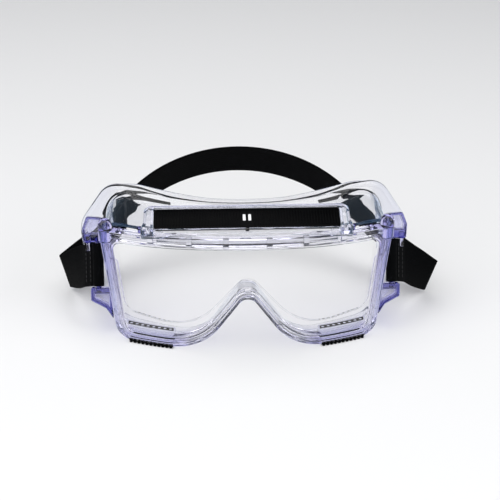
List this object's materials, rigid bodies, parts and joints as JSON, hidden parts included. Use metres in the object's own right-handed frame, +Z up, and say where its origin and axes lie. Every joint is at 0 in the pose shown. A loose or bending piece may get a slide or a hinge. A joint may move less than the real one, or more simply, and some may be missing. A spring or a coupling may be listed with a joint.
{
  "type": "safety goggles",
  "caption": "Clear vented safety goggles: wide soft mask with a curved lens, black ribbed vent covers and a black elastic headband on swivelling sewn ends.",
  "frame": {"origin": "on the table, below the middle of the lens rim's front", "axes": "+X to the right seen from the front, +Y back towards the wearer, +Z up; the goggles rest on z = 0"},
  "size_m": [0.2278, 0.1502, 0.0795],
  "materials": {
    "clear_vinyl": "soft clear moulding, glossy, violet tint where it is thick",
    "clear_lens": "hard clear sheet, polished, colourless",
    "violet_plastic": "clear violet moulding, glossy",
    "black_plastic": "black moulding, satin",
    "pale_plastic": "pale moulding, satin",
    "smoke_plastic": "smoky clear moulding",
    "black_webbing": "woven black elastic with ribbed edges",
    "black_thread": "black sewing thread"
  },
  "bodies": {
    "mask": {"goggle_body": "clear_vinyl", "face_seal": "clear_vinyl", "lens_rim": "clear_vinyl", "top_vent_frame": "clear_vinyl", "strap_lug_upper_left": "clear_vinyl", "strap_lug_upper_right": "clear_vinyl", "strap_lug_lower_left": "clear_vinyl", "strap_lug_lower_right": "clear_vinyl", "lens": "clear_lens", "top_vent_baffle": "clear_lens", "strap_pin_left": "violet_plastic", "strap_pin_right": "violet_plastic", "vent_rivet_left": "violet_plastic", "vent_rivet_right": "violet_plastic", "top_vent_cover": "black_plastic", "bottom_vent_cover_left": "black_plastic", "bottom_vent_cover_right": "black_plastic", "bottom_vent_grille_left": "black_plastic", "bottom_vent_grille_right": "black_plastic", "top_vent_catch": "pale_plastic", "bottom_vent_housing_left": "smoke_plastic", "bottom_vent_housing_right": "smoke_plastic", "headband": "black_webbing"},
    "left_strap_end": {"strap_end_left": "black_webbing", "strap_stitching_left": "black_thread"},
    "right_strap_end": {"strap_end_right": "black_webbing", "strap_stitching_right": "black_thread"},
    "adjuster": {"strap_slider": "black_plastic"}
  },
  "joints": [
    {"name": "left_strap_swivel", "type": "hinge", "parent": "mask", "child": "left_strap_end", "pos_m": [-0.0845, 0.04, 0.0365], "axis": [0, 0.3363, 0.9418], "range_deg": [-14, 35]},
    {"name": "right_strap_swivel", "type": "hinge", "parent": "mask", "child": "right_strap_end", "pos_m": [0.0845, 0.04, 0.0365], "axis": [0, -0.3363, -0.9418], "range_deg": [-14, 35]},
    {"name": "adjuster_slide", "type": "slide", "parent": "mask", "child": "adjuster", "axis": [-0.6018, -0.6773, -0.4232], "range_m": [-0.0065, 0.0065]}
  ]
}
